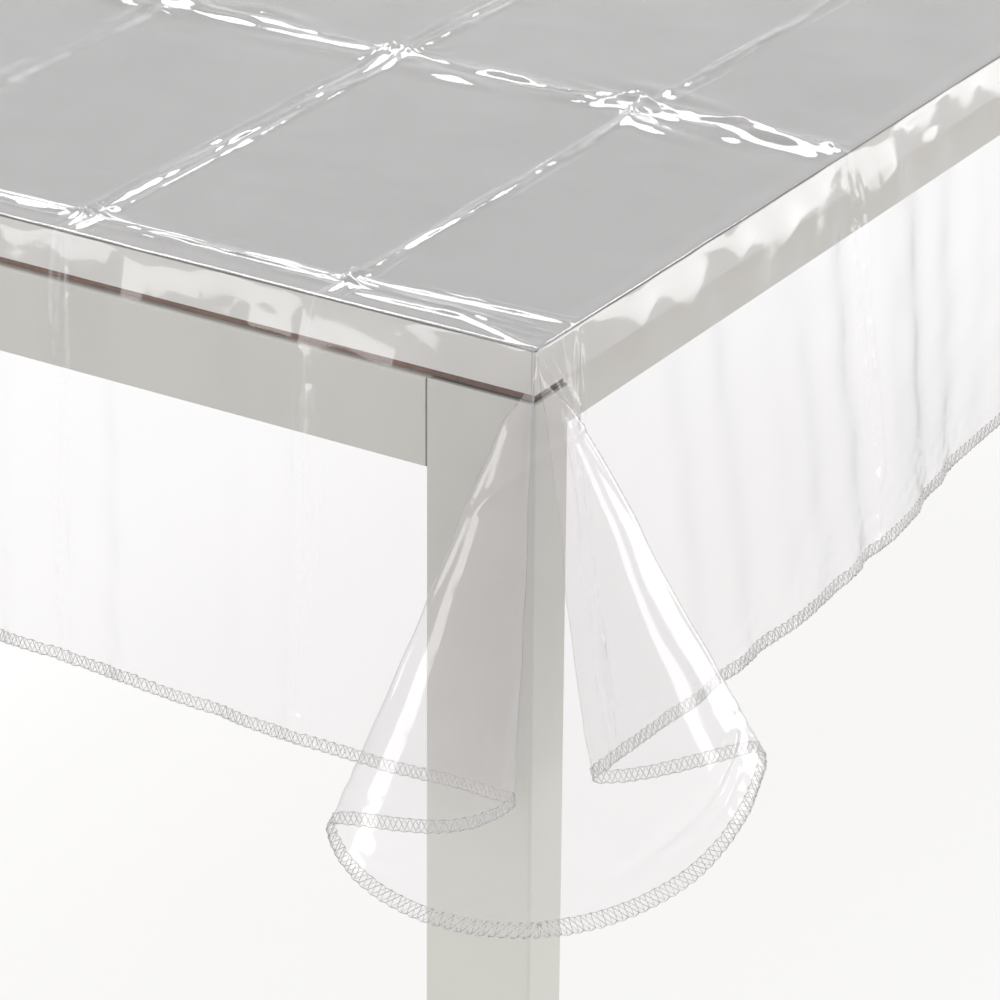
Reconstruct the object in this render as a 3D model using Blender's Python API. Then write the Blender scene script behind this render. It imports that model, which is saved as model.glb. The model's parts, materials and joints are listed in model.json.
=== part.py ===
"""A dining table under a clear vinyl tablecloth with an overlocked hem.

Metres, +Z up. The origin is on the floor under the middle of the table, +X runs along the
table's length and +Y along its width. Every piece is placed from the named sizes below.
"""

from itertools import product
from math import cos, hypot, pi, sin

import bmesh
import bpy
from mathutils import Vector

# The whole table
TABLE_LENGTH = 1.700
TABLE_WIDTH = 0.900
TABLE_HEIGHT = 0.745
SEAT_GAP = 0.0003  # between two pieces that touch

# The tabletop: a board, its grey laminate and four edge bands
SLAB_THICKNESS = 0.025
LAMINATE_THICKNESS = 0.0008
BAND_THICKNESS = 0.002
REVEAL_HEIGHT = 0.0055  # the dark gap between the slab and the frame
REVEAL_SET_BACK = 0.004

# The frame of rectangular steel tube
LEG_WIDTH = 0.0665  # along Y
LEG_DEPTH = 0.0336  # along X
APRON_HEIGHT = 0.0515
APRON_DEPTH = 0.0336
CROSS_RAIL_SIZE = 0.030
TUBE_WALL = 0.002
TUBE_EDGE_RADIUS = 0.0018
ARC_STEPS = 3  # straight pieces in each rounded edge of a tube

# Plastic caps in the legs' lower ends
CAP_FLANGE = 0.005
CAP_PLUG_LENGTH = 0.018

# Steel tabs welded inside the frame, each with a screw up into the board
TAB_THICKNESS = 0.0025
TAB_LEAF = 0.032
TAB_DROP = 0.026
TAB_WIDTH = 0.030
TABS_PER_SIDE = 2
TAB_FROM_END = 0.255  # from the table's end to the middle of a side's nearest tab
SCREW_RADIUS = 0.002
SCREW_HEAD_RADIUS = 0.0045
SCREW_HEAD_HEIGHT = 0.0024
SCREW_CROWN_RADIUS = 0.00315  # of the head's flat
SCREW_BITE = 0.014  # depth in the board
SCREW_HOLE_RADIUS = 0.0025
ROUND_STEPS = 20
SHARP_ANGLE = 0.6  # between two faces that meet at a sharp edge

# The tablecloth
END_DROP = 0.257  # flat width of cloth that hangs past an end of the table, and past a side
SIDE_DROP = 0.240
CLOTH_THICKNESS = 0.0005
CLOTH_CORNER_RADIUS = 0.112
HEM_WIDTH = 0.0075
HEM_THICKNESS = 0.0018
HEM_GAP = 0.0005  # between the sheet's edge and the band of thread
PANEL_LEAN = 0.01  # how far out every hanging panel leans, as a slope
END_FLARE = 0.06  # how far out the hanging ends lean beside a corner
SIDE_FLARE = 0.15
END_FLARE_FADE = (0.12, 0.38)  # where that lean starts and stops fading, from the corner
SIDE_FLARE_FADE = (0.22, 0.56)
ROWS = (0.09, 0.15, 0.21, 0.28, 0.37, 1.0)  # mesh rows, as shares of the way to the hem
FOLD_OPENS = (0.09, 0.37)  # the shares of the drop between which the corner's fold opens out
FOLD_START = 0.26  # how far out the fold stands where it starts, as a slope
FAN_COLUMNS = 36  # mesh columns round each corner's fold
PANEL_STEPS = (0.06, 0.14, 0.22, 0.30, 0.40)  # columns, from the corner

# The corner fold hangs as a cone from the table's corner. These points draw its
# cross-section, as slopes out from the end (first) and from the side (second): in from the
# end's panel, out to a fold in front of it, round the corner's front, to a fold in front of
# the side's panel, and back in to it.
CORNER_LOOP = (
    (END_FLARE, 0.00),
    (0.16, 0.01),
    (0.30, -0.04),
    (0.37, -0.31),
    (0.46, -0.19),
    (0.47, -0.08),
    (0.36, 0.05),
    (0.23, 0.20),
    (0.12, 0.37),
    (0.04, 0.54),
    (-0.32, 0.53),
    (-0.11, 0.37),
    (0.04, 0.17),
    (0.00, SIDE_FLARE),
)

slab_bottom = TABLE_HEIGHT - SLAB_THICKNESS
frame_top = slab_bottom - REVEAL_HEIGHT
half_length = TABLE_LENGTH / 2
half_width = TABLE_WIDTH / 2
cloth_offset = SEAT_GAP + CLOTH_THICKNESS / 2  # of the sheet's middle from the table


def clear_scene():
    for obj in list(bpy.data.objects):
        bpy.data.objects.remove(obj, do_unlink=True)


def material(name, colour, roughness, metallic=0.0, alpha=1.0):
    made = bpy.data.materials.get(name) or bpy.data.materials.new(name)
    made.use_nodes = True
    shader = made.node_tree.nodes["Principled BSDF"]
    shader.inputs["Base Color"].default_value = (*colour, 1)
    shader.inputs["Roughness"].default_value = roughness
    shader.inputs["Metallic"].default_value = metallic
    shader.inputs["Alpha"].default_value = alpha
    return made


def add_object(name, bm, made_of, location=(0, 0, 0), smooth=False):
    bmesh.ops.recalc_face_normals(bm, faces=bm.faces)
    mesh = bpy.data.meshes.new(name)
    bm.to_mesh(mesh)
    bm.free()
    mesh.materials.append(made_of)
    if smooth:
        mesh.shade_smooth()
        mesh.set_sharp_from_angle(angle=SHARP_ANGLE)
    obj = bpy.data.objects.new(name, mesh)
    obj.location = location
    bpy.context.scene.collection.objects.link(obj)
    return obj


def block(name, low, high, made_of):
    """A box between two corners, with its origin in its middle."""
    low, high = Vector(low), Vector(high)
    bm = bmesh.new()
    bmesh.ops.create_cube(bm, size=1)
    bmesh.ops.scale(bm, vec=high - low, verts=bm.verts)
    return add_object(name, bm, made_of, (low + high) / 2)


def rounded_rectangle(width, height, radius):
    """The outline of a rectangle with round corners, about the origin."""
    outline = []
    for turn, (side, end) in enumerate(((1, 1), (-1, 1), (-1, -1), (1, -1))):
        centre = (side * (width / 2 - radius), end * (height / 2 - radius))
        for step in range(ARC_STEPS + 1):
            angle = (turn + step / ARC_STEPS) * pi / 2
            outline.append(
                (centre[0] + radius * cos(angle), centre[1] + radius * sin(angle))
            )
    return outline


def bridge(bm, loops, closed):
    """Faces between neighbouring loops of vertices, and from the last to the first if closed."""
    count = len(loops[0])
    for first, second in zip(loops, loops[1:] + loops[:1] if closed else loops[1:]):
        for k in range(count):
            after = (k + 1) % count
            bm.faces.new((first[k], first[after], second[after], second[k]))


def tube(name, width, height, length, place, along, made_of):
    """A rectangular tube with open ends, its middle at place. along maps (across, up, run) to XYZ."""
    bm = bmesh.new()
    inner_radius = max(TUBE_EDGE_RADIUS - TUBE_WALL, TUBE_EDGE_RADIUS / 3)
    outlines = (
        rounded_rectangle(width, height, TUBE_EDGE_RADIUS),
        rounded_rectangle(width - 2 * TUBE_WALL, height - 2 * TUBE_WALL, inner_radius),
    )
    loops = []
    for outline, run in (
        (outlines[0], -length / 2),
        (outlines[0], length / 2),
        (outlines[1], length / 2),
        (outlines[1], -length / 2),
    ):
        loops.append([bm.verts.new(along(a, b, run)) for a, b in outline])
    bridge(bm, loops, closed=True)
    return add_object(name, bm, made_of, place, smooth=True)


def along_x(across, up, run):
    return (run, across, up)


def along_y(across, up, run):
    return (across, run, up)


def along_z(across, up, run):
    return (across, up, run)


def turned(name, profile, place, made_of):
    """A solid of revolution about Z. The profile's first and last points are on the axis."""
    bm = bmesh.new()
    ends = [bm.verts.new((0, 0, profile[k][1])) for k in (0, -1)]
    loops = []
    for radius, height in profile[1:-1]:
        angles = [2 * pi * k / ROUND_STEPS for k in range(ROUND_STEPS)]
        loops.append([bm.verts.new((radius * cos(a), radius * sin(a), height)) for a in angles])
    bridge(bm, loops, closed=False)
    for end, loop in zip(ends, (loops[0], loops[-1])):
        for k in range(ROUND_STEPS):
            bm.faces.new((end, loop[k], loop[(k + 1) % ROUND_STEPS]))
    return add_object(name, bm, made_of, place, smooth=True)


def cut(target, cutter):
    """Cuts one object out of another and leaves the cutter as a hidden guide."""
    cutter.hide_render = True
    cutter.display_type = "WIRE"
    modifier = target.modifiers.new("cut_" + cutter.name, "BOOLEAN")
    modifier.operation = "DIFFERENCE"
    modifier.object = cutter


def make_tabletop():
    board = material("particle_board", (0.42, 0.30, 0.19), 0.85)
    grey = material("grey_laminate", (0.42, 0.42, 0.41), 0.45)
    greige = material("edge_band", (0.62, 0.61, 0.57), 0.4)
    inner = (half_length - BAND_THICKNESS - SEAT_GAP, half_width - BAND_THICKNESS - SEAT_GAP)
    core_top = TABLE_HEIGHT - LAMINATE_THICKNESS - SEAT_GAP
    core = block(
        "tabletop_core",
        (-inner[0], -inner[1], slab_bottom),
        (inner[0], inner[1], core_top),
        board,
    )
    block(
        "top_laminate",
        (-half_length, -half_width, TABLE_HEIGHT - LAMINATE_THICKNESS),
        (half_length, half_width, TABLE_HEIGHT),
        grey,
    )
    for side, name in ((-1, "front"), (1, "back")):
        faces = sorted((side * half_width, side * (half_width - BAND_THICKNESS)))
        block(
            f"edge_band_{name}",
            (-half_length, faces[0], slab_bottom),
            (half_length, faces[1], core_top),
            greige,
        )
    for side, name in ((-1, "left"), (1, "right")):
        faces = sorted((side * half_length, side * (half_length - BAND_THICKNESS)))
        block(
            f"edge_band_{name}",
            (faces[0], -inner[1], slab_bottom),
            (faces[1], inner[1], core_top),
            greige,
        )
    return core


def make_reveal_strips():
    """Dark strips that hold the slab off the frame: over both ends, both sides and the rail."""
    brown = material("brown_strip", (0.09, 0.055, 0.035), 0.8)
    low, high = frame_top + SEAT_GAP, slab_bottom - SEAT_GAP
    outer, inner = half_length - REVEAL_SET_BACK, half_length - LEG_DEPTH
    for side, name in ((-1, "left"), (1, "right")):
        faces = sorted((side * inner, side * outer))
        end = half_width - REVEAL_SET_BACK
        block(f"reveal_strip_{name}", (faces[0], -end, low), (faces[1], end, high), brown)
    apron_inner = half_width - LEG_WIDTH
    apron_outer = apron_inner + APRON_DEPTH - REVEAL_SET_BACK
    for side, name in ((-1, "front"), (1, "back")):
        faces = sorted((side * apron_inner, side * apron_outer))
        end = inner - SEAT_GAP
        block(f"reveal_strip_{name}", (-end, faces[0], low), (end, faces[1], high), brown)
    half_rail, end = CROSS_RAIL_SIZE / 2, apron_inner - SEAT_GAP
    block("reveal_strip_middle", (-half_rail, -end, low), (half_rail, end, high), brown)


def make_frame():
    paint = material("frame_paint", (0.60, 0.59, 0.54), 0.4)
    leg_length = frame_top - CAP_FLANGE - SEAT_GAP
    leg_middle = frame_top - leg_length / 2
    ends = (("left", -1), ("right", 1))
    sides = (("front", -1), ("back", 1))
    for (end, x), (side, y) in product(ends, sides):
        place = (x * (half_length - LEG_DEPTH / 2), y * (half_width - LEG_WIDTH / 2), leg_middle)
        tube(f"leg_{end}_{side}", LEG_DEPTH, LEG_WIDTH, leg_length, place, along_z, paint)
        make_foot_cap(f"foot_cap_{end}_{side}", place[:2])
    apron_middle = frame_top - APRON_HEIGHT / 2
    run = TABLE_WIDTH - 2 * (LEG_WIDTH + SEAT_GAP)
    for end, x in ends:
        place = (x * (half_length - LEG_DEPTH / 2), 0, apron_middle)
        tube(f"end_apron_{end}", LEG_DEPTH, APRON_HEIGHT, run, place, along_y, paint)
    run = TABLE_LENGTH - 2 * (LEG_DEPTH + SEAT_GAP)
    for side, y in sides:
        place = (0, y * (half_width - LEG_WIDTH + APRON_DEPTH / 2), apron_middle)
        tube(f"side_apron_{side}", APRON_DEPTH, APRON_HEIGHT, run, place, along_x, paint)
    run = TABLE_WIDTH - 2 * (LEG_WIDTH + SEAT_GAP)
    place = (0, 0, frame_top - CROSS_RAIL_SIZE / 2)
    tube("cross_rail", CROSS_RAIL_SIZE, CROSS_RAIL_SIZE, run, place, along_y, paint)


def make_foot_cap(name, place):
    """A flange under the leg with a plug up inside it."""
    plastic = material("foot_plastic", (0.05, 0.05, 0.05), 0.5)
    plug = 2 * (TUBE_WALL + SEAT_GAP)
    wide = rounded_rectangle(LEG_DEPTH, LEG_WIDTH, TUBE_EDGE_RADIUS)
    slim = rounded_rectangle(LEG_DEPTH - plug, LEG_WIDTH - plug, TUBE_EDGE_RADIUS)
    bm = bmesh.new()
    loops = []
    for outline, height in (
        (wide, 0),
        (wide, CAP_FLANGE),
        (slim, CAP_FLANGE),
        (slim, CAP_FLANGE + CAP_PLUG_LENGTH),
    ):
        loops.append([bm.verts.new((a, b, height)) for a, b in outline])
    bridge(bm, loops, closed=False)
    bm.faces.new(loops[0])
    bm.faces.new(loops[-1])
    add_object(name, bm, plastic, (*place, 0))


def make_fixings(core):
    """Tabs along both side aprons and one on each end apron, screwed up into the board."""
    number = 0
    side_face = half_width - LEG_WIDTH
    end_face = half_length - LEG_DEPTH
    for k, y in product(range(TABS_PER_SIDE), (-1, 1)):
        x = (2 * k / (TABS_PER_SIDE - 1) - 1) * (half_length - TAB_FROM_END)
        number += 1
        make_tab(core, number, Vector((x, y * (side_face - SEAT_GAP), 0)), Vector((0, -y, 0)))
    for x in (-1, 1):
        number += 1
        make_tab(core, number, Vector((x * (end_face - SEAT_GAP), 0, 0)), Vector((-x, 0, 0)))


def make_tab(core, number, place, inward):
    """An L-shaped tab: one leaf down the apron's inner face, one under the slab, with its screw."""
    steel = material("zinc_steel", (0.55, 0.55, 0.55), 0.35, metallic=1.0)
    top = slab_bottom - SEAT_GAP
    across = Vector((0, 0, 1)).cross(inward) * (TAB_WIDTH / 2)
    profile = (
        (0, top - TAB_DROP),
        (TAB_THICKNESS, top - TAB_DROP),
        (TAB_THICKNESS, top - TAB_THICKNESS),
        (TAB_LEAF, top - TAB_THICKNESS),
        (TAB_LEAF, top),
        (0, top),
    )
    bm = bmesh.new()
    loops = []
    for side in (-1, 1):
        points = [place + inward * run + across * side + Vector((0, 0, z)) for run, z in profile]
        loops.append([bm.verts.new(point) for point in points])
    bridge(bm, loops, closed=False)
    for loop in loops:
        bm.faces.new(loop)
    tab = add_object(f"fixing_tab_{number}", bm, steel)
    at = place + inward * (TAB_LEAF + TAB_THICKNESS) / 2
    under = top - TAB_THICKNESS - SEAT_GAP
    tip = slab_bottom + SCREW_BITE
    hole = ((0, under - TAB_DROP), (SCREW_HOLE_RADIUS, under - TAB_DROP))
    hole += ((SCREW_HOLE_RADIUS, tip + SEAT_GAP), (0, tip + SEAT_GAP))
    for target, label in ((tab, "tab"), (core, "core")):
        cut(target, turned(f"screw_hole_{label}_{number}", hole, at, steel))
    head = under - SCREW_HEAD_HEIGHT
    profile = (
        (0, head),
        (SCREW_CROWN_RADIUS, head),
        (SCREW_HEAD_RADIUS, head + SCREW_HEAD_HEIGHT / 2),
        (SCREW_HEAD_RADIUS, under),
        (SCREW_RADIUS, under),
        (SCREW_RADIUS, tip - 2 * SCREW_RADIUS),
        (0, tip),
    )
    turned(f"tab_screw_{number}", profile, at, steel)


def fade(distance, span):
    """1 before span, 0 past it, with a smooth change between."""
    share = min(max((distance - span[0]) / (span[1] - span[0]), 0), 1)
    return 1 - share * share * (3 - 2 * share)


def smooth_curve(points, steps):
    """A cubic B-spline through the first and last points, drawn by those between."""
    points = [Vector(p) for p in points]
    points = [2 * points[0] - points[1], *points, 2 * points[-1] - points[-2]]
    curve = []
    for k in range(len(points) - 3):
        a, b, c, d = points[k : k + 4]
        for step in range(steps):
            t = step / steps
            near, far = (1 - t) ** 3, t**3
            second = 3 * t**3 - 6 * t**2 + 4
            third = -3 * t**3 + 3 * t**2 + 3 * t + 1
            curve.append((near * a + second * b + third * c + far * d) / 6)
    return curve + [points[-2]]


def fan_directions(opened):
    """Unit directions round the corner fold, spaced evenly, each with its outward normal.

    In the corner's own axes: out past the end, out past the side, up. opened goes from 0, a
    pleat that stands straight out from the corner, to 1, the whole loop.
    """
    loop = []
    for k, (out_end, out_side) in enumerate(CORNER_LOOP):
        share = k / (len(CORNER_LOOP) - 1)
        out = FOLD_START * sin(pi * share)
        pleat = Vector((END_FLARE * (1 - share) + out, SIDE_FLARE * share + out))
        loop.append(pleat.lerp(Vector((out_end, out_side)), opened))
    fine = [Vector((a, b, -1)).normalized() for a, b in smooth_curve(loop, 40)]
    length = [0.0]
    for before, after in zip(fine, fine[1:]):
        length.append(length[-1] + (after - before).length)
    found = []
    for k in range(FAN_COLUMNS + 1):
        wanted = length[-1] * k / FAN_COLUMNS
        at = min(range(len(fine)), key=lambda j: abs(length[j] - wanted))
        forward = fine[min(at + 1, len(fine) - 1)] - fine[max(at - 1, 0)]
        found.append((fine[at], fine[at].cross(forward).normalized()))
    return found


def reach(angle):
    """Flat distance from the table's corner to the cloth's rounded corner, in a direction."""
    along, across = cos(angle), sin(angle)
    straight = min(END_DROP / max(along, 1e-6), SIDE_DROP / max(across, 1e-6))
    centre = (END_DROP - CLOTH_CORNER_RADIUS, SIDE_DROP - CLOTH_CORNER_RADIUS)
    middle = along * centre[0] + across * centre[1]
    inside = middle**2 - hypot(*centre) ** 2 + CLOTH_CORNER_RADIUS**2
    if straight * along < centre[0] or straight * across < centre[1] or inside < 0:
        return straight
    return middle + inside**0.5


def corner_columns():
    """Columns of the cloth round one corner, in its own axes: (depth, point at a share of it)."""
    apex = Vector((half_length + cloth_offset, half_width + cloth_offset, 0))
    fans = {share: fan_directions(1 - fade(share, FOLD_OPENS)) for share in ROWS}
    columns = []
    for k in range(FAN_COLUMNS + 1):

        def point(row, depth, proud, k=k):
            direction, normal = fans[row][k]
            return apex + direction * depth + normal * proud

        columns.append((reach(pi / 2 * k / FAN_COLUMNS), point))
    return columns


def panel_column(at, side, across, drop, flare):
    """One column of a hanging panel. side and across are the axes out of and along the edge."""
    lean = Vector(side) * sin(flare) + Vector((0, 0, -cos(flare)))
    normal = Vector(side) * cos(flare) + Vector((0, 0, sin(flare)))
    edge = Vector(side) * (cloth_offset + (half_length if side[0] else half_width))

    def point(_, depth, proud):
        return edge + Vector(across) * at + lean * depth + normal * proud

    return drop, point


def quarter_columns():
    """One quarter of the cloth, from the middle of an end round the corner to the middle of a side.

    Each entry is (where it meets the table's edge, its depth, its point function). That
    takes a row of ROWS, a depth along the cloth and how far proud of its middle to be.
    """
    columns = []
    across_end, across_side = (0, 1, 0), (1, 0, 0)
    edge_end, edge_side = half_width + cloth_offset, half_length + cloth_offset
    for step in reversed(PANEL_STEPS):
        flare = PANEL_LEAN + (END_FLARE - PANEL_LEAN) * fade(step, END_FLARE_FADE)
        drop, point = panel_column(edge_end - step, (1, 0, 0), across_end, END_DROP, flare)
        columns.append((Vector((edge_side, edge_end - step, 0)), drop, point))
    apex = Vector((edge_side, edge_end, 0))
    columns += [(apex, depth, point) for depth, point in corner_columns()]
    for step in (*PANEL_STEPS, SIDE_FLARE_FADE[1]):
        flare = PANEL_LEAN + (SIDE_FLARE - PANEL_LEAN) * fade(step, SIDE_FLARE_FADE)
        drop, point = panel_column(edge_side - step, (0, 1, 0), across_side, SIDE_DROP, flare)
        columns.append((Vector((edge_side - step, edge_end, 0)), drop, point))
    return columns


def cloth_columns():
    """All columns round the cloth, in order: (edge point, depth, point), in world axes about Z = 0."""
    quarter = quarter_columns()
    around = []
    for x, y in ((1, 1), (-1, 1), (-1, -1), (1, -1)):
        mirrored = quarter if x * y > 0 else quarter[::-1]
        for edge, depth, point in mirrored:

            def placed(row, down, proud, point=point, x=x, y=y):
                local = point(row, down, proud)
                return Vector((local.x * x, local.y * y, local.z))

            around.append((Vector((edge.x * x, edge.y * y, 0)), depth, placed))
    return around


def ring_faces(bm, first, second):
    """Quads between two closed rings, or triangles where a ring repeats a vertex."""
    for k in range(len(first)):
        after = (k + 1) % len(first)
        corners = []
        for vertex in (first[k], first[after], second[after], second[k]):
            if vertex not in corners:
                corners.append(vertex)
        if len(corners) > 2:
            bm.faces.new(corners)


def make_sheet(columns):
    """The clear vinyl sheet: flat on the table, down its sides, folded at its corners."""
    vinyl = material("clear_vinyl", (0.95, 0.95, 0.95), 0.05, alpha=0.3)
    level = TABLE_HEIGHT + cloth_offset
    up = Vector((0, 0, 1))
    bm = bmesh.new()
    rims = []
    for proud in (CLOTH_THICKNESS / 2, -CLOTH_THICKNESS / 2):
        made = {}
        edge_ring = []
        for edge, _, _ in columns:
            key = tuple(round(value, 6) for value in edge)
            if key not in made:
                out = Vector((proud if abs(edge.x) > half_length else 0, 0, 0))
                out.x *= 1 if edge.x > 0 else -1
                out.y = (proud if abs(edge.y) > half_width else 0) * (1 if edge.y > 0 else -1)
                made[key] = bm.verts.new(edge + out + up * (level + proud))
            edge_ring.append(made[key])
        above = edge_ring
        for row in ROWS:
            ring = []
            for _, depth, point in columns:
                down = (depth - HEM_WIDTH) * row
                ring.append(bm.verts.new(point(row, down, proud) + up * level))
            ring_faces(bm, above, ring)
            above = ring
        middle = bm.verts.new(up * (level + proud))
        table_edge = list(dict.fromkeys(edge_ring))
        for first, second in zip(table_edge, table_edge[1:] + table_edge[:1]):
            bm.faces.new((first, second, middle))
        rims.append(above)
    ring_faces(bm, *rims)
    add_object("tablecloth_sheet", bm, vinyl, smooth=True)


def make_overlock(columns):
    """The band of overlock thread round the cloth's edge."""
    thread = material("overlock_thread", (0.62, 0.61, 0.58), 0.7)
    level = Vector((0, 0, TABLE_HEIGHT + cloth_offset))
    half = HEM_THICKNESS / 2
    bm = bmesh.new()
    rings = []
    inner = HEM_WIDTH - HEM_GAP
    for back, proud in ((inner, half), (0, half), (0, -half), (inner, -half)):
        ring = [point(1.0, depth - back, proud) + level for _, depth, point in columns]
        rings.append([bm.verts.new(place) for place in ring])
    for first, second in zip(rings, rings[1:] + rings[:1]):
        ring_faces(bm, first, second)
    add_object("overlock_hem", bm, thread, smooth=True)


def build():
    clear_scene()
    core = make_tabletop()
    make_reveal_strips()
    make_frame()
    make_fixings(core)
    columns = cloth_columns()
    make_sheet(columns)
    make_overlock(columns)


build()
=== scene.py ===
"""The looks of a dining table under a clear vinyl tablecloth with an overlocked hem."""

import json
from math import pi, radians

import bpy
import numpy as np
from mathutils import Euler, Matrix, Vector

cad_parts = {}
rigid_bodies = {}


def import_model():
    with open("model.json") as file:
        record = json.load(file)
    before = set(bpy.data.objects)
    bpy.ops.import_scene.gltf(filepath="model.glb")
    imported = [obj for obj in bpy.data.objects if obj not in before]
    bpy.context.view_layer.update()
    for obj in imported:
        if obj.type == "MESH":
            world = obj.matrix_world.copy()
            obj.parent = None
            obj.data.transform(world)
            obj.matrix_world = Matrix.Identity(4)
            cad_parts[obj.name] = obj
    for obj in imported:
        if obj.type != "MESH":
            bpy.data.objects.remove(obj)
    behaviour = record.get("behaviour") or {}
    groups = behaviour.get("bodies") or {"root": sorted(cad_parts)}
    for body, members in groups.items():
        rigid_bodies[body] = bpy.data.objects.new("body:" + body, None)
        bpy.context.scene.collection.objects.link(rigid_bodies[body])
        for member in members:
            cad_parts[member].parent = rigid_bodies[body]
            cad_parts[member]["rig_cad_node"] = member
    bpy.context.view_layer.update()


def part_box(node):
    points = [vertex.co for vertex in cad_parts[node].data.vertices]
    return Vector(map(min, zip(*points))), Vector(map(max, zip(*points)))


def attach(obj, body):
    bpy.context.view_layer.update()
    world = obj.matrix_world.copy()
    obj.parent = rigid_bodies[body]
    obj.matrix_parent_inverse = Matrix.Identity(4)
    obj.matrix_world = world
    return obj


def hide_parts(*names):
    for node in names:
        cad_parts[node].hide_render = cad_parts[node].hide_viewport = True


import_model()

# The table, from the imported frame
half_length, half_width, table_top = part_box("top_laminate")[1]

# The cloth, as it was cut
CLOTH_LENGTH = 2.214
CLOTH_WIDTH = 1.380
CORNER_RADIUS = 0.112
FILM_THICKNESS = 0.0003
HEM_WIDTH = 0.0075
FILM_GAP = 0.0006  # from the table to the film's middle

# How it hangs: slopes out from the table, and where they fade, from a corner
PANEL_LEAN = 0.012
END_FLARE = 0.06
SIDE_FLARE = 0.15
END_FLARE_FADE = (0.12, 0.38)
SIDE_FLARE_FADE = (0.22, 0.56)
EDGE_BEND = 0.0008  # size of the tight bend over the table's edge
EDGE_LIFT = 0.7 * EDGE_BEND  # by which the bend stands clear of the edge
STAND_OFF_ANGLE = 0.50  # from upright, just below the edge, where the stiff film still leans out
STAND_OFF_LENGTH = 0.014  # over which it comes down to the panel's own lean
STAND_OFF_FADE = (0.015, 0.10)  # near a corner it is pulled tight
HUMP_LENGTH = 0.012  # of the low hump before the edge

# The corner fold: its opening, as shares of the way to the hem, and its cross-section
FOLD_OPENS = (0.0, 0.16)
FOLD_START = 0.26
# A search program set CORNER_RADIUS and ten of these points. They were then rounded.
CORNER_LOOP = (
    (END_FLARE, 0.00),
    (0.16, 0.01),
    (0.30, -0.04),
    (0.37, -0.31),
    (0.46, -0.19),
    (0.47, -0.08),
    (0.36, 0.05),
    (0.23, 0.20),
    (0.12, 0.37),
    (0.04, 0.54),
    (-0.32, 0.53),
    (-0.11, 0.37),
    (0.04, 0.17),
    (0.00, SIDE_FLARE),
)

# Fold lines left from the packet. One in each direction stands out more than the rest.
CREASES_ACROSS = [-0.828 + 0.306 * k for k in range(6)]  # at these x, along Y
CREASES_ALONG = [-0.320 + 0.168 * k for k in range(5)]  # at these y, along X
STRONG = 1

# Broad unevenness of the film: height, seed, length and count of the waves
TOP_WAVES = ((0.00020, 3, 0.11, 14), (0.00012, 4, 0.05, 14))
PANEL_WAVES = ((0.0006, 5, 0.15, 16), (0.0003, 6, 0.045, 16))
PUCKER_HEIGHT = 0.00035  # of the ripples that the stitching draws up beside the hem
BULGE_HEIGHT = 0.0010  # of the film just below the table's edge

# Grid lines per metre: on top, on the panels, towards the near corner, round it, at the
# table's edges, and at fold lines near that corner and far from it
TOP_LINES = 100.0
PANEL_LINES = 190.0
NEAR_LINES = 190
CORNER_LINES = 330
EDGE_LINES = 500
CREASE_LINES = (450, 120)

# Ridges pulled out from each corner: points as flat distances past the end and the side,
# each with its height and half-width
# About half of the points follow another program's output. The others, and the heights and
# widths, are given one by one.
CORNER_RIDGES = (
    (((-0.030, -0.118), (-0.039, -0.004)), 0.0016, 0.0022),
    (((-0.037, -0.100), (-0.044, -0.004)), 0.0009, 0.0014),
    (((-0.013, -0.118), (-0.016, -0.055), (-0.002, -0.004)), 0.0016, 0.0022),
    (((-0.020, -0.080), (-0.020, -0.045)), 0.0018, 0.0040),
    (((-0.002, 0.006), (-0.024, 0.047)), 0.0022, 0.0018),
    (((-0.010, 0.006), (-0.030, 0.045)), 0.0016, 0.0014),
    (((-0.038, 0.004), (-0.026, 0.047)), 0.0022, 0.0016),
    (((-0.043, 0.006), (-0.034, 0.050)), 0.0016, 0.0016),
    (((0.006, 0.017), (0.084, 0.230)), 0.0018, 0.0020),
    (((0.016, 0.044), (0.046, 0.037), (0.080, 0.038)), 0.0030, 0.0020),
    (((0.010, 0.004), (0.078, 0.031), (0.100, 0.036)), 0.0018, 0.0022),
    (((0.078, 0.033), (0.115, 0.048), (0.200, 0.082)), 0.0016, 0.0020),
    (((0.091, 0.211), (0.130, 0.216), (0.178, 0.212)), 0.0052, 0.0026),
    (((0.105, 0.222), (0.140, 0.226), (0.165, 0.220)), 0.0016, 0.0018),
)

end_drop = CLOTH_LENGTH / 2 - half_length
side_drop = CLOTH_WIDTH / 2 - half_width


# ---------------------------------------------------------------- small tools


def smoothstep(value, low, high):
    share = np.clip((value - low) / (high - low), 0, 1)
    return share * share * (3 - 2 * share)


def fade(value, span):
    return 1 - smoothstep(value, *span)


def soft_ramp(value, size):
    """value where it is well over 0 and 0 where it is well under, with a bend of this size."""
    return size * np.logaddexp(0, value / size)


def ridge(distance, width):
    """A sharp crest of height 1 at distance 0."""
    return np.exp(-np.abs(distance) / width)


def swell(distance, width):
    """A round crest of height 1 at distance 0."""
    return np.exp(-((distance / width) ** 2))


def waves(x, y, seed, length, count=10):
    """A smooth random field of about -1 to 1, from cosine waves of about this length."""
    rng = np.random.default_rng(seed)
    total = np.zeros(np.broadcast(x, y).shape)
    for _ in range(count):
        turn, phase = rng.uniform(0, 2 * pi, 2)
        rate = 2 * pi / length * rng.uniform(0.6, 1.4)
        total += np.cos(rate * (np.cos(turn) * x + np.sin(turn) * y) + phase)
    return total / np.sqrt(count)


# ---------------------------------------------------------------- the cloth's shape


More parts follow.
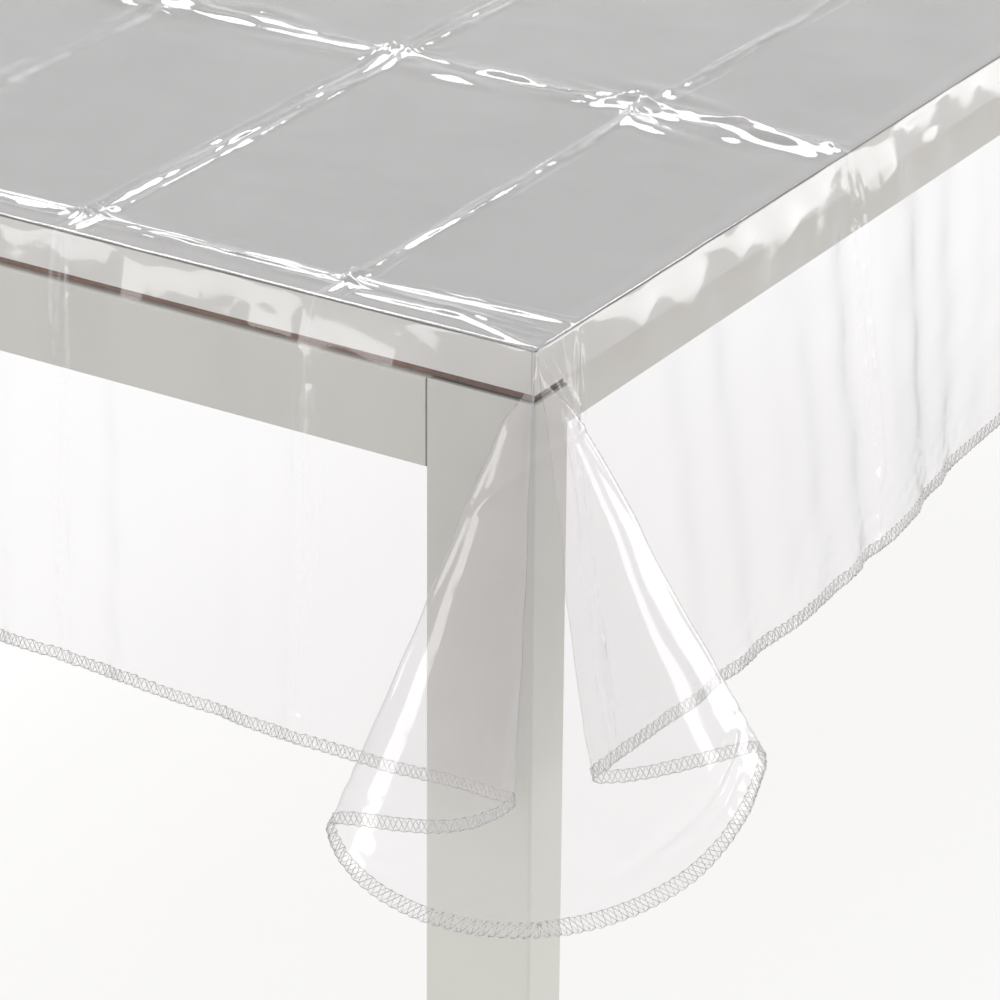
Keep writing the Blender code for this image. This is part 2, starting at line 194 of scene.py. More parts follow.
def b_spline(points, steps):
    """A cubic B-spline through the first and last points, drawn by those between."""
    points = np.array(points, float)
    points = np.vstack([2 * points[:1] - points[1:2], points, 2 * points[-1:] - points[-2:-1]])
    t = np.linspace(0, 1, steps, endpoint=False)[:, None]
    pieces = []
    for a, b, c, d in zip(points, points[1:], points[2:], points[3:]):
        pieces.append(
            ((1 - t) ** 3 * a + (3 * t**3 - 6 * t**2 + 4) * b
             + (-3 * t**3 + 3 * t**2 + 3 * t + 1) * c + t**3 * d) / 6
        )
    return np.vstack([*pieces, points[-2:-1]])


def fan_table(levels=33, columns=513):
    """Unit directions round the fold, for each level of its opening, evenly spaced round it."""
    share = np.linspace(0, 1, len(CORNER_LOOP))
    out = FOLD_START * np.sin(pi * share)
    pleat = np.stack([END_FLARE * (1 - share) + out, SIDE_FLARE * share + out], 1)
    table = []
    for opened in np.linspace(0, 1, levels):
        loop = b_spline(pleat + (np.array(CORNER_LOOP) - pleat) * opened, 40)
        fine = np.column_stack([loop, -np.ones(len(loop))])
        fine /= np.linalg.norm(fine, axis=1)[:, None]
        length = np.concatenate([[0], np.cumsum(np.linalg.norm(np.diff(fine, axis=0), axis=1))])
        even = np.linspace(0, length[-1], columns)
        table.append(np.stack([np.interp(even, length, fine[:, k]) for k in range(3)], 1))
    return np.array(table)


FAN = fan_table()


def fan_direction(opened, angle):
    """The fold's direction at an opening of 0 to 1 and a flat angle of 0 to a quarter turn."""
    level = np.clip(opened, 0, 1) * (FAN.shape[0] - 1)
    column = np.clip(angle / (pi / 2), 0, 1) * (FAN.shape[1] - 1)
    i = np.minimum(level.astype(int), FAN.shape[0] - 2)
    j = np.minimum(column.astype(int), FAN.shape[1] - 2)
    p, q = (level - i)[..., None], (column - j)[..., None]
    low = FAN[i, j] * (1 - q) + FAN[i, j + 1] * q
    high = FAN[i + 1, j] * (1 - q) + FAN[i + 1, j + 1] * q
    mixed = low * (1 - p) + high * p
    return mixed / np.linalg.norm(mixed, axis=-1, keepdims=True)


def reach(angle):
    """Flat distances from the table's corner to the rounded corner of the cloth and a sharp one."""
    along, across = np.cos(angle), np.sin(angle)
    sharp = np.minimum(end_drop / np.maximum(along, 1e-6), side_drop / np.maximum(across, 1e-6))
    centre = (end_drop - CORNER_RADIUS, side_drop - CORNER_RADIUS)
    middle = along * centre[0] + across * centre[1]
    inside = middle**2 - (centre[0] ** 2 + centre[1] ** 2) + CORNER_RADIUS**2
    curved = middle + np.sqrt(np.maximum(inside, 0))
    on_arc = (sharp * along >= centre[0]) & (sharp * across >= centre[1]) & (inside > 0)
    return np.where(on_arc, curved, sharp), sharp


def round_corner(a, b):
    """Moves flat points past both edges so that the sharp corner becomes the rounded one."""
    angle = np.arctan2(b, a)
    curved, sharp = reach(angle)
    distance = np.hypot(a, b) * curved / sharp
    return distance * np.cos(angle), distance * np.sin(angle)


def over_edge(past, lean, stand_off):
    """(out, up) of the film over one edge, past it by this flat distance."""
    clear = EDGE_LIFT + FILM_GAP
    ramp = soft_ramp(past, EDGE_BEND)
    extra = stand_off * STAND_OFF_LENGTH * (1 - np.exp(-ramp / STAND_OFF_LENGTH))
    out = -soft_ramp(-past, EDGE_BEND) + clear * smoothstep(past, -HUMP_LENGTH, 0)
    out += ramp * np.sin(lean) + extra
    hump = smoothstep(past, -HUMP_LENGTH, -HUMP_LENGTH / 8) * fade(past, (0, HUMP_LENGTH))
    lost = extra * np.clip(stand_off, 0, 1) / 2  # what leaning out takes off the drop
    up = lost - ramp * np.cos(lean) + (clear - FILM_GAP) * hump
    return out, up


def stand_off_along(beside, seed):
    """How far the film leans out just below an edge, which changes along it."""
    level = 0 * beside
    change = waves(beside, level, seed, 0.16, 8) + 0.6 * waves(beside, level, seed + 1, 0.05, 8)
    share = np.clip(0.75 + 0.45 * change, 0.1, 1.5)
    return STAND_OFF_ANGLE * share * smoothstep(beside, *STAND_OFF_FADE)


def quadrant(a, b):
    """Places flat points of one quarter. a and b are flat distances past the end and the side."""
    place = np.zeros((*a.shape, 3))
    beside_end, beside_side = np.maximum(-b, 0), np.maximum(-a, 0)
    lean_end = PANEL_LEAN + (END_FLARE - PANEL_LEAN) * fade(beside_end, END_FLARE_FADE)
    lean_side = PANEL_LEAN + (SIDE_FLARE - PANEL_LEAN) * fade(beside_side, SIDE_FLARE_FADE)
    out_a, up_a = over_edge(a, lean_end, stand_off_along(beside_end, 11))
    out_b, up_b = over_edge(b, lean_side, stand_off_along(beside_side, 15))
    place[..., 0] = half_length + out_a
    place[..., 1] = half_width + out_b
    place[..., 2] = table_top + FILM_GAP + up_a + up_b
    both = (a > 0) & (b > 0)
    r, angle = np.hypot(a[both], b[both]), np.arctan2(b[both], a[both])
    opened = smoothstep(r / reach(angle)[0], *FOLD_OPENS)
    ramp = soft_ramp(r, EDGE_BEND)
    out = -soft_ramp(-r, EDGE_BEND) + EDGE_LIFT + FILM_GAP
    fan = fan_direction(opened, angle) * ramp[:, None]
    fan[:, 0] += half_length + out * np.cos(angle)
    fan[:, 1] += half_width + out * np.sin(angle)
    fan[:, 2] += table_top + FILM_GAP + EDGE_LIFT * fade(r, (0, HUMP_LENGTH))
    place[both] = fan
    return place


def lines_between(low, high, density):
    """Positions from low to high, packed by a density in lines per metre."""
    fine = np.linspace(low, high, 20001)
    count = np.concatenate([[0], np.cumsum(density(fine)[1:] * np.diff(fine))])
    number = int(round(count[-1]))
    return np.interp(np.linspace(0, count[-1], number + 1), count, fine)


def line_density(edge, creases, near):
    """Lines per metre along one direction: many at the edges, at creases and near one corner."""

    def density(at):
        value = np.where(np.abs(at) > edge, PANEL_LINES, TOP_LINES)
        value += NEAR_LINES * (at < near)
        value += CORNER_LINES * (at < 0.09 - edge)
        value += EDGE_LINES * swell(np.abs(at) - edge, 0.010)
        for crease in creases:
            value += CREASE_LINES[0 if crease < near else 1] * swell(at - crease, 0.016)
        return value

    return density


def grid_lines():
    s_density = line_density(half_length, CREASES_ACROSS, -0.38)
    t_density = line_density(half_width, CREASES_ALONG, -0.08)
    half = (CLOTH_LENGTH / 2 - HEM_WIDTH, CLOTH_WIDTH / 2 - HEM_WIDTH)
    lines = []
    for inner, density in zip(half, (s_density, t_density)):
        between = lines_between(-inner, inner, density)
        steps = np.array([HEM_WIDTH, HEM_WIDTH / 2])
        lines.append(np.concatenate([-inner - steps, between, inner + steps[::-1]]))
    return lines


def flat_grid():
    """The flat cloth's points, with rounded corners, as a grid of (x, y)."""
    s, t = np.meshgrid(*grid_lines(), indexing="ij")
    a, b = np.abs(s) - half_length, np.abs(t) - half_width
    both = (a > 0) & (b > 0)
    a2, b2 = round_corner(a[both], b[both])
    s[both] = np.sign(s[both]) * (half_length + a2)
    t[both] = np.sign(t[both]) * (half_width + b2)
    return s, t


def normals_of(place):
    along_s = np.gradient(place, axis=0)
    along_t = np.gradient(place, axis=1)
    normal = np.cross(along_s, along_t)
    length = np.linalg.norm(normal, axis=-1, keepdims=True)
    return normal / np.maximum(length, 1e-12)


def crease_bundle(across, along, seed, height, spread, count, width=(0.0012, 0.0030)):
    """Several ridges that run side by side and come and go. Distances across and along them."""
    rng = np.random.default_rng(seed)
    total = np.zeros(across.shape)
    for _ in range(count):
        offset, wide = rng.normal(0, spread), rng.uniform(*width)
        start, wander = rng.uniform(0, 100), rng.uniform(0.06, 0.2)
        wave = np.sin(2 * pi * along / wander + start)
        wave += 0.5 * np.sin(2 * pi * along / 0.021 + start * 2)
        drift = 0.0012 * np.sin(2 * pi * along / 0.13 + start * 3)
        crest = swell(across - offset - drift, wide) * np.clip(0.2 + wave, 0, 1)
        total += crest * rng.uniform(0.4, 1)
    return total * height


def star(x, y, centre, seed, height, size, rays=14):
    """Short sharp wrinkles that run out from a point."""
    rng = np.random.default_rng(seed)
    dx, dy = x - centre[0], y - centre[1]
    r = np.hypot(dx, dy)
    total = np.zeros(x.shape)
    for _ in range(rays):
        turn, length = rng.uniform(0, 2 * pi), size * rng.uniform(0.25, 1)
        along = dx * np.cos(turn) + dy * np.sin(turn)
        bend = 0.3 * along * np.sin(along / size * 4 + turn)
        across = dy * np.cos(turn) - dx * np.sin(turn) + bend
        shape = swell(across, rng.uniform(0.0012, 0.0026)) * (along > 0)
        total += shape * fade(r, (0.3 * length, length)) * rng.uniform(0.4, 1)
    return height * total * smoothstep(r, 0, 0.004)


def lenses(across, along, seed, height, count):
    """Small long bulges beside a crease from the front edge to past the middle, each like a lens."""
    rng = np.random.default_rng(seed)
    total = np.zeros(across.shape)
    for _ in range(count):
        u, v = rng.normal(0, 0.011), rng.uniform(-half_width, 0.15)
        turn, long, wide = rng.normal(0, 0.15), rng.uniform(0.012, 0.040), rng.uniform(0.004, 0.008)
        p = (across - u) * np.cos(turn) - (along - v) * np.sin(turn)
        q = (across - u) * np.sin(turn) + (along - v) * np.cos(turn)
        total += swell(p, wide) * swell(q, long) * rng.uniform(0.4, 1)
    return total * height


def polyline_ridge(a, b, points, height, width):
    """A sharp ridge along a broken line, which sinks away at its ends."""
    total = np.zeros(a.shape)
    stretches = list(zip(points, points[1:]))
    steps = [np.hypot(q[0] - p[0], q[1] - p[1]) for p, q in stretches]
    gone = 0
    for (p, q), step in zip(stretches, steps):
        ux, uy = (q[0] - p[0]) / step, (q[1] - p[1]) / step
        along = (a - p[0]) * ux + (b - p[1]) * uy
        across = (b - p[1]) * ux - (a - p[0]) * uy
        past = np.maximum(np.maximum(-along, along - step), 0)
        share = (gone + np.clip(along, 0, step)) / sum(steps)
        change = 0.85 + 0.2 * np.cos(11 * share + 2000 * width)
        ends = np.sqrt(np.sin(pi * (0.06 + 0.88 * share)))
        total = np.maximum(total, swell(np.hypot(across, past), width) * change * ends)
        gone += step
    return height * total


def corner_ridges(s, t):
    a, b = np.abs(s) - half_length, np.abs(t) - half_width
    near = (a > -0.16) & (b > -0.16)
    height = np.zeros(s.shape)
    for points, tall, wide in CORNER_RIDGES:
        height[near] += polyline_ridge(a[near], b[near], points, tall, wide)
    return height


def long_ridges(across, along, seed, height, offsets, width=0.0015):
    """Nearly straight ridges that run on side by side, a little broken."""
    total = np.zeros(across.shape)
    for k, offset in enumerate(offsets):
        drift = 0.0008 * np.sin(2 * pi * along / 0.31 + seed + k)
        wide = width * (1 + 0.4 * np.sin(9 * along + k))
        change = 0.70 + 0.30 * waves(along, 0 * along, seed + k, 0.05, 6)
        total += swell(across - offset - drift, wide) * np.clip(change, 0.2, 1.2)
    return height * total


def top_relief(s, t):
    """How far the film stands off the tabletop."""
    height = np.zeros(s.shape)
    for tall, seed, length, count in TOP_WAVES:
        height += tall * np.maximum(waves(s, t, seed, length, count), 0)
    for k, x in enumerate(CREASES_ACROSS):
        tall, spread = (0.0010, 0.005) if k == STRONG else (0.0005, 0.002)
        height += crease_bundle(s - x, t, 20 + k, tall, spread, 9)
        height += 0.0002 * ridge(s - x, 0.006)
    height += lenses(s - CREASES_ACROSS[STRONG], t, 90, 0.0024, 46)
    for k, y in enumerate(CREASES_ALONG):
        tall, spread = (0.0009, 0.004) if k == STRONG else (0.0004, 0.0012)
        height += crease_bundle(t - y, s, 40 + k, tall, spread, 7)
        height += 0.0002 * ridge(t - y, 0.006)
    height += long_ridges(t - CREASES_ALONG[STRONG], s, 31, 0.0015, (-0.006, 0.0005, 0.008))
    height += long_ridges(s - CREASES_ACROSS[0], t, 36, 0.0011, (0.0, 0.005), 0.0013)
    height += long_ridges(t - CREASES_ALONG[0], s, 38, 0.0012, (0.0,), 0.0018)
    to_corner = np.hypot(np.abs(s) - half_length, np.abs(t) - half_width)
    height *= 0.15 + 0.85 * smoothstep(to_corner, 0.09, 0.15)
    for i, x in enumerate(CREASES_ACROSS):
        for j, y in enumerate(CREASES_ALONG):
            crossing, size = (x + 0.003, y + 0.002), 0.05 if i else 0.03
            height += star(s, t, crossing, 100 + 7 * i + j, 0.0015, size)
    return height


def creasing(s, t):
    """Where the film has been creased sharply and whitened, from 0 to 1."""
    marks = np.zeros(s.shape)
    for k, x in enumerate(CREASES_ACROSS):
        marks += crease_bundle(s - x, t, 60 + k, 0.6, 0.006, 7, (0.0008, 0.0016))
    for k, y in enumerate(CREASES_ALONG):
        marks += crease_bundle(t - y, s, 70 + k, 0.6, 0.006, 7, (0.0008, 0.0016))
    return np.clip(marks, 0, 1)


def panel_relief(s, t):
    """Creases and waves of the hanging panels, along the film's normal."""
    height = sum(tall * waves(s, t, seed, length, count) for tall, seed, length, count in PANEL_WAVES)
    to_hem = np.minimum(CLOTH_LENGTH / 2 - np.abs(s), CLOTH_WIDTH / 2 - np.abs(t))
    height += PUCKER_HEIGHT * waves(s, t, 12, 0.014, 18) * fade(to_hem, (0.005, 0.06))
    for k, x in enumerate(CREASES_ACROSS):
        height += crease_bundle(s - x, t, 60 + k, 0.0009, 0.006, 9)
    for k, y in enumerate(CREASES_ALONG):
        height += crease_bundle(t - y, s, 70 + k, 0.0009, 0.006, 9)
    return height


def drape(s, t):
    """Lays the flat points over the table and adds the film's unevenness."""
    a, b = np.abs(s) - half_length, np.abs(t) - half_width
    place = quadrant(a, b)
    place[..., 0] *= np.where(s < 0, -1, 1)
    place[..., 1] *= np.where(t < 0, -1, 1)
    normal = normals_of(place)
    past = np.maximum(a, b)
    on_top = fade(past, (-0.012, -0.001))
    hanging = smoothstep(past, 0.004, 0.03)
    under_edge = smoothstep(past, 0.001, 0.006) * fade(past, (0.02, 0.05))
    relief = on_top * top_relief(s, t) + hanging * panel_relief(s, t) + corner_ridges(s, t)
    relief += under_edge * BULGE_HEIGHT * np.maximum(waves(s, t, 17, 0.06, 16), -0.3)
    return place + normal * relief[..., None]


# ---------------------------------------------------------------- making meshes


def mesh_object(name, points, faces, material, smooth=True):
    mesh = bpy.data.meshes.new(name)
    mesh.vertices.add(len(points))
    mesh.vertices.foreach_set("co", np.asarray(points, np.float32).ravel())
    faces = np.asarray(faces, np.int32)
    mesh.loops.add(faces.size)
    mesh.loops.foreach_set("vertex_index", faces.ravel())
    mesh.polygons.add(len(faces))
    starts = np.arange(0, faces.size, faces.shape[1], dtype=np.int32)
    mesh.polygons.foreach_set("loop_start", starts)
    mesh.update(calc_edges=True)
    mesh.validate()
    mesh.materials.append(material)
    if smooth:
        mesh.shade_smooth()
    obj = bpy.data.objects.new(name, mesh)
    bpy.context.scene.collection.objects.link(obj)
    return obj


def make_sheet(place, marks, material):
    """The film over a grid of points. marks holds the values that its material reads."""
    rows, columns = place.shape[:2]
    index = np.arange(rows * columns).reshape(rows, columns)
    quads = np.stack([index[:-1, :-1], index[1:, :-1], index[1:, 1:], index[:-1, 1:]], -1)
    sheet = mesh_object("tablecloth", place.reshape(-1, 3), quads.reshape(-1, 4), material)
    for name, values in marks.items():
        mark = sheet.data.attributes.new(name, "FLOAT", "POINT")
        mark.data.foreach_set("value", values.astype(np.float32).ravel())
    thick = sheet.modifiers.new("film_thickness", "SOLIDIFY")
    thick.thickness = FILM_THICKNESS
    thick.offset = 0
    return sheet


def tube_mesh(name, path, radius, material, sides=5):
    """A thread along a closed path of points."""
    ahead = np.roll(path, -1, axis=0) - np.roll(path, 1, axis=0)
    ahead /= np.maximum(np.linalg.norm(ahead, axis=1, keepdims=True), 1e-12)
    side = np.cross(ahead, (0.21, 0.13, 0.97))
    side /= np.maximum(np.linalg.norm(side, axis=1, keepdims=True), 1e-12)
    other = np.cross(ahead, side)
    turn = 2 * pi * np.arange(sides) / sides
    rings = path[:, None] + radius * (
        np.cos(turn)[None, :, None] * side[:, None] + np.sin(turn)[None, :, None] * other[:, None]
    )
    number = len(path)
    index = np.arange(number * sides).reshape(number, sides)
    after, beside = np.roll(index, -1, axis=0), np.roll(index, -1, axis=1)
    both = np.roll(after, -1, axis=1)
    quads = np.stack([index, after, both, beside], -1).reshape(-1, 4)
    return mesh_object(name, rings.reshape(-1, 3), quads, material)


# ---------------------------------------------------------------- the overlock


STITCH = 0.0060
THREAD_RADIUS = 0.00026


def make_overlock(place, material):
    """Four threads round the hem, between the cloth's edge and the grid line HEM_WIDTH inside it."""
    normal = normals_of(place)
    rows, columns = place.shape[:2]
    last_row, last_column = rows - 1, columns - 1
    around = [(i, 0) for i in range(last_row)]
    around += [(last_row, j) for j in range(last_column)]
    around += [(i, last_column) for i in range(last_row, 0, -1)]
    around += [(0, j) for j in range(last_column, 0, -1)]
    around = np.array(around)
    inner = np.clip(around, 2, [rows - 3, columns - 3])
    edge_line = place[around[:, 0], around[:, 1]]
    inner_line = place[inner[:, 0], inner[:, 1]]
    out_line = normal[inner[:, 0], inner[:, 1]]
    step = np.linalg.norm(np.roll(edge_line, -1, axis=0) - edge_line, axis=1)
    length = np.concatenate([[0], np.cumsum(step)])
    total = length[-1]
    stitches = int(round(total / STITCH))

    def at(phase, inset, lift):
        """Points at these stitch counts round the hem, inset from its edge and lifted off it."""
        where = np.mod(phase / stitches, 1) * total
        found = []
        for line in (edge_line, inner_line, out_line):
            wrapped = np.vstack([line, line[:1]])
            found.append(np.stack([np.interp(where, length, wrapped[:, k]) for k in range(3)], 1))
        edge, needle, out = found
        share = (inset / HEM_WIDTH)[:, None]
        return edge * (1 - share) + needle * share + out * lift[:, None]

    per = 8
    phase = np.arange(stitches * per) / per
    turn = phase * 2 * pi
    zigzag = np.abs(np.mod(phase, 1) * 2 - 1)
    wobble = 0.0003 * waves(phase, 0 * phase, 8, 5)
    film = FILM_THICKNESS / 2 + THREAD_RADIUS
    pieces = []
    reach_in = HEM_WIDTH * (0.06 + 0.88 * zigzag) + wobble
    pieces.append(("overlock_upper_looper", at(phase, reach_in, np.full(len(phase), film))))
    reach_in = HEM_WIDTH * (0.06 + 0.88 * (1 - zigzag)) - wobble
    pieces.append(("overlock_lower_looper", at(phase, reach_in, np.full(len(phase), -film))))
    needle = HEM_WIDTH * 0.93 + wobble * 0.4
    pieces.append(("overlock_needle_thread", at(phase, needle, film * 1.9 * np.cos(turn))))
    chain = HEM_WIDTH * (0.02 + 0.05 * np.cos(turn))
    pieces.append(("overlock_edge_chain", at(phase, chain, film * 1.2 * np.sin(turn))))
    return [tube_mesh(name, path, THREAD_RADIUS, material) for name, path in pieces]


# ---------------------------------------------------------------- materials


def new_material(name):
    material = bpy.data.materials.new(name)
    material.use_nodes = True
    tree = material.node_tree
    return material, tree, tree.nodes["Principled BSDF"]


def add_node(tree, kind, inputs=(), **settings):
    made = tree.nodes.new("ShaderNode" + kind)
    for key, value in settings.items():
        setattr(made, key, value)
    for key, value in dict(inputs).items():
        socket = made.inputs[key]
        if hasattr(value, "is_output"):
            tree.links.new(value, socket)
        else:
            socket.default_value = value
    return made


def noise(tree, scale, detail=3.0, roughness=0.55, stretch=(1, 1, 1)):
    where = add_node(tree, "TexCoord")
    mapping = add_node(tree, "Mapping", {"Vector": where.outputs["Object"], "Scale": stretch})
    inputs = {"Vector": mapping.outputs[0], "Scale": scale}
    inputs.update({"Detail": detail, "Roughness": roughness})
    return add_node(tree, "TexNoise", inputs).outputs["Fac"]


def ramp(tree, value, low, high, span=(0.3, 0.7)):
    """A colour that runs from low to high as the value goes over a span."""
    share = add_node(tree, "MapRange", {"Value": value, "From Min": span[0], "From Max": span[1]})
    mix = add_node(tree, "Mix", {"Factor": share.outputs[0]}, data_type="RGBA")
    mix.inputs["A"].default_value = (*low, 1)
    mix.inputs["B"].default_value = (*high, 1)
    return mix.outputs["Result"]


def number(tree, value, low, high, span=(0.3, 0.7)):
    """A number that runs from low to high as the value goes over a span."""
    inputs = {"Value": value, "From Min": span[0], "From Max": span[1]}
    inputs.update({"To Min": low, "To Max": high})
    return add_node(tree, "MapRange", inputs).outputs[0]


def arithmetic(tree, operation, *values):
    """The result of one sum on numbers or on other nodes' outputs."""
    inputs = dict(enumerate(values))
    return add_node(tree, "Math", inputs, operation=operation).outputs[0]


def bump(tree, height, distance, strength=1.0):
    inputs = {"Height": height, "Distance": distance, "Strength": strength}
    return add_node(tree, "Bump", inputs).outputs[0]


def finish_coat(name, low, high, grain, grain_depth, roughness):
    """A painted, laminated or moulded surface: slow colour change and a fine texture."""
    material, tree, shader = new_material(name)
    slow, fine = noise(tree, 4.0, 4.0), noise(tree, grain, 2.0)
    tree.links.new(ramp(tree, slow, low, high), shader.inputs["Base Color"])
    tree.links.new(number(tree, fine, *roughness), shader.inputs["Roughness"])
    tree.links.new(bump(tree, fine, grain_depth), shader.inputs["Normal"])
    shader.inputs["Specular IOR Level"].default_value = 0.5
    return material, tree, shader


def laminate_material():
    """Satin grey laminate, with the dark brown edge of its paper core."""
    material, tree, shader = finish_coat(
        "grey_laminate", (0.182, 0.182, 0.177), (0.208, 0.208, 0.202), 900, 0.00004, (0.42, 0.52)
    )
    where = add_node(tree, "TexCoord")
    split = add_node(tree, "SeparateXYZ", {"Vector": where.outputs["Normal"]})
    face = number(tree, split.outputs["Z"], 0, 1, (0.4, 0.6))
    link = shader.inputs["Base Color"].links[0].from_socket
    mix = add_node(tree, "Mix", {"Factor": face}, data_type="RGBA")
    mix.inputs["A"].default_value = (0.10, 0.09, 0.08, 1)
    tree.links.new(link, mix.inputs["B"])
    tree.links.new(mix.outputs["Result"], shader.inputs["Base Color"])
    return material


def wood_material(name, low, high, scale, stretch, roughness):
    """Board or strip of wood: grain in colour and depth, stretched along one direction."""
    material, tree, shader = new_material(name)
    grain = noise(tree, scale, 6.0, 0.65, stretch)
    tree.links.new(ramp(tree, grain, low, high), shader.inputs["Base Color"])
    shader.inputs["Roughness"].default_value = roughness
    tree.links.new(bump(tree, grain, 0.0003), shader.inputs["Normal"])
    return material


def zinc_material():
    material, tree, shader = new_material("zinc_steel")
    spangle = noise(tree, 120, 3.0)
    colour = ramp(tree, spangle, (0.50, 0.50, 0.51), (0.66, 0.66, 0.67))
    tree.links.new(colour, shader.inputs["Base Color"])
    tree.links.new(number(tree, spangle, 0.28, 0.45), shader.inputs["Roughness"])
    shader.inputs["Metallic"].default_value = 1
    return material


def thread_material():
    """Spun polyester thread: a fine twist and small changes of shade."""
    material, tree, shader = new_material("overlock_thread")
    twist, slow = noise(tree, 2600, 2.0), noise(tree, 30, 3.0)
    colour = ramp(tree, slow, (0.62, 0.61, 0.59), (0.74, 0.73, 0.71))
    tree.links.new(colour, shader.inputs["Base Color"])
    tree.links.new(bump(tree, twist, 0.0001), shader.inputs["Normal"])
    shader.inputs["Roughness"].default_value = 0.7
    shader.inputs["Sheen Weight"].default_value = 0.3
    return material


FILM_CLEAR = (0.985, 0.980, 0.982)
FILM_SLANT = (0.955, 0.950, 0.950)  # seen through at a slant
FILM_FACE_MIRROR = 0.045
CREASE_WHITENING = 0.22
HAZE = (0.006, 0.020)
GLOSS_ROUGHNESS = (0.035, 0.09)
HANGING_ROUGHNESS = 0.07  # added where the film hangs free


def vinyl_material():
    """Clear film: it lets through most of what is behind it and mirrors the rest."""
    material, tree, shader = new_material("clear_vinyl")
    tree.nodes.remove(shader)
    facing = add_node(tree, "LayerWeight", {"Blend": 0.5}).outputs["Facing"]
    mirror = number(tree, arithmetic(tree, "POWER", facing, 5.0), FILM_FACE_MIRROR, 1.0, (0, 1))
    tint = ramp(tree, arithmetic(tree, "POWER", facing, 3.0), FILM_CLEAR, FILM_SLANT, (0, 1))
    through = add_node(tree, "BsdfTransparent", {"Color": tint}).outputs[0]
    haze = add_node(tree, "BsdfDiffuse", {"Color": (0.9, 0.9, 0.9, 1)}).outputs[0]
    crinkle, fine = noise(tree, 55, 3.0, 0.6), noise(tree, 16, 2.0)
    normal = bump(tree, crinkle, 0.0004, 0.5)
    creased = add_node(tree, "Attribute", attribute_name="creased").outputs["Fac"]
    milky = arithmetic(tree, "MULTIPLY_ADD", creased, CREASE_WHITENING, number(tree, fine, *HAZE))
    body = add_node(tree, "MixShader", {0: milky, 1: through, 2: haze}).outputs[0]
    gloss = add_node(tree, "BsdfAnisotropic", {"Color": (1, 1, 1, 1), "Normal": normal})
    hanging = add_node(tree, "Attribute", attribute_name="hanging").outputs["Fac"]
    taut = number(tree, fine, *GLOSS_ROUGHNESS)
    roughness = arithmetic(tree, "MULTIPLY_ADD", hanging, HANGING_ROUGHNESS, taut)
    tree.links.new(roughness, gloss.inputs["Roughness"])
    whole = add_node(tree, "MixShader", {0: mirror, 1: body, 2: gloss.outputs[0]}).outputs[0]
    tree.links.new(whole, tree.nodes["Material Output"].inputs["Surface"])
    return material


def dress_table():
    """Gives each of the table's nodes its finish."""
    paint = finish_coat(
        "frame_paint", (0.555, 0.550, 0.505), (0.585, 0.580, 0.535), 420, 0.00009, (0.36, 0.5)
    )[0]
    band = finish_coat(
        "edge_band", (0.600, 0.592, 0.560), (0.625, 0.617, 0.585), 700, 0.00004, (0.36, 0.46)
    )[0]
    plastic = finish_coat(
        "foot_plastic", (0.035, 0.035, 0.036), (0.05, 0.05, 0.05), 500, 0.0001, (0.45, 0.6)
    )[0]
    board = wood_material(
        "particle_board", (0.30, 0.20, 0.11), (0.58, 0.44, 0.29), 260, (1, 1, 1.6), 0.85
    )
    brown = wood_material(
        "brown_strip", (0.090, 0.034, 0.012), (0.21, 0.092, 0.040), 40, (3, 3, 20), 0.7
    )
    finishes = {
        "top_laminate": laminate_material(),
        "tabletop_core": board,
        "edge_band": band,
        "reveal_strip": brown,
        "foot_cap": plastic,
        "fixing_tab": zinc_material(),
        "leg": paint, "end_apron": paint, "side_apron": paint, "cross_rail": paint,
    }
    finishes["tab_screw"] = finishes["fixing_tab"]
    for obj in bpy.context.scene.objects:
        if "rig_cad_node" not in obj or obj.hide_render:
            continue
        for start, finish in finishes.items():
            if obj["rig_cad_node"].startswith(start):
                for slot in obj.material_slots:
                    slot.material = finish


# ---------------------------------------------------------------- studio


def area_light(name, azimuth, elevation, distance, size, radiance):
    """A softbox in a direction from the near corner, facing it. radiance is its brightness."""
    turn, tilt = radians(azimuth), radians(elevation)
    outward = Vector((np.cos(tilt) * np.cos(turn), np.cos(tilt) * np.sin(turn), np.sin(tilt)))
    data = bpy.data.lights.new(name, "AREA")
    data.shape = "RECTANGLE"
    data.size, data.size_y = size
    data.energy = radiance * pi * size[0] * size[1]
    light = bpy.data.objects.new(name, data)
    light.location = Vector((-half_length, -half_width, table_top)) + outward * distance
    light.rotation_euler = outward.to_track_quat("Z", "Y").to_euler()
    light.visible_camera = False
    bpy.context.scene.collection.objects.link(light)
    return light


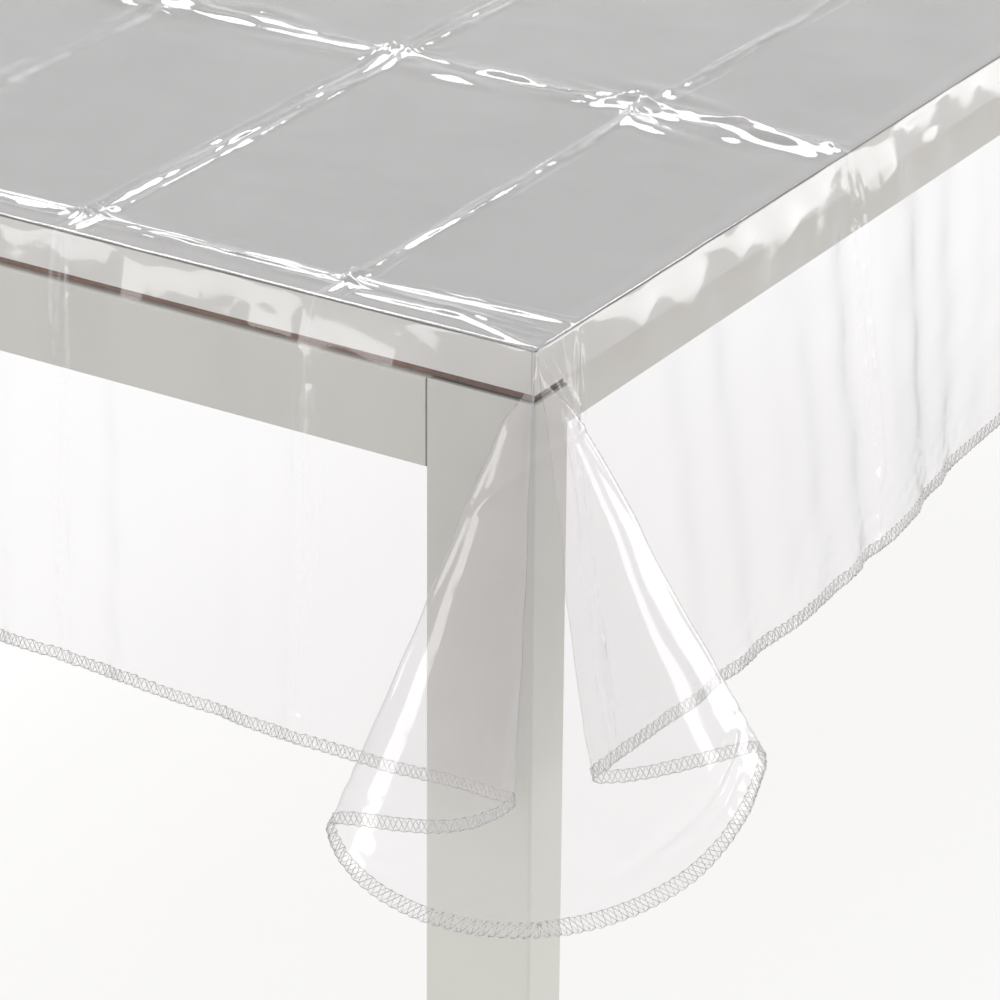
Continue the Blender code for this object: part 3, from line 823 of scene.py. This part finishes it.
def make_studio():
    """A pale floor, a soft sky that is brighter overhead, and four softboxes."""
    scene = bpy.context.scene
    scene.view_settings.view_transform = "Standard"
    scene.cycles.transparent_max_bounces = 64
    scene.cycles.max_bounces = 10
    scene.cycles.caustics_reflective = False
    world = bpy.data.worlds.new("studio")
    world.use_nodes = True
    scene.world = world
    tree = world.node_tree
    where = add_node(tree, "TexCoord")
    split = add_node(tree, "SeparateXYZ", {"Vector": where.outputs["Generated"]})
    shade = ramp(tree, split.outputs["Z"], (0.72, 0.72, 0.73), (1.02, 1.02, 1.02), (-0.1, 0.7))
    tree.links.new(shade, tree.nodes["Background"].inputs["Color"])
    floor_material, tree, shader = new_material("studio_floor")
    glow = add_node(tree, "Emission", {"Color": (1, 1, 1, 1), "Strength": 1.0}).outputs[0]
    shader.inputs["Base Color"].default_value = (0.85, 0.85, 0.85, 1)
    shader.inputs["Roughness"].default_value = 1
    shader.inputs["Specular IOR Level"].default_value = 0
    mixed = add_node(tree, "MixShader", {0: 0.2, 1: glow, 2: shader.outputs[0]}).outputs[0]
    tree.links.new(mixed, tree.nodes["Material Output"].inputs["Surface"])
    size = 14
    corners = [(-size, -size, 0), (size, -size, 0), (size, size, 0), (-size, size, 0)]
    floor = mesh_object("floor", corners, [(0, 1, 2, 3)], floor_material, smooth=False)
    floor.visible_glossy = False
    area_light("back_softbox", 32, 48, 3.2, (3.0, 1.3), 7.0)
    area_light("right_softbox", -34, 8, 3.4, (1.6, 1.6), 2.8)
    area_light("front_right_softbox", -70, 7, 3.2, (1.0, 1.5), 2.4)
    area_light("left_softbox", 146, 7, 3.4, (2.2, 1.5), 2.4)


CAMERA_PLACE = (-2.730, -1.600, 1.702)
CAMERA_TURN = (64.72, 0, -58.09)
CAMERA_ROLL = 0.44
CAMERA_LENS = 170.3


def make_camera():
    data = bpy.data.cameras.new("camera")
    data.lens = CAMERA_LENS
    data.sensor_width = 36
    data.clip_start = 0.05
    camera = bpy.data.objects.new("camera", data)
    camera.location = CAMERA_PLACE
    look = Euler([radians(angle) for angle in CAMERA_TURN]).to_matrix()
    roll = Euler((0, 0, radians(CAMERA_ROLL))).to_matrix()
    camera.rotation_euler = (look @ roll).to_euler()
    bpy.context.scene.collection.objects.link(camera)
    bpy.context.scene.camera = camera


# ---------------------------------------------------------------- the scene


make_camera()
make_studio()
dress_table()
flat_s, flat_t = flat_grid()
cloth = drape(flat_s, flat_t)
past_edge = np.maximum(np.abs(flat_s) - half_length, np.abs(flat_t) - half_width)
marks = {"creased": creasing(flat_s, flat_t), "hanging": smoothstep(past_edge, 0, 0.004)}
sheet = make_sheet(cloth, marks, vinyl_material())
threads = make_overlock(cloth, thread_material())
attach(sheet, "tablecloth")
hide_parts("tablecloth_sheet")
for thread in threads:
    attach(thread, "tablecloth")
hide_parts("overlock_hem")
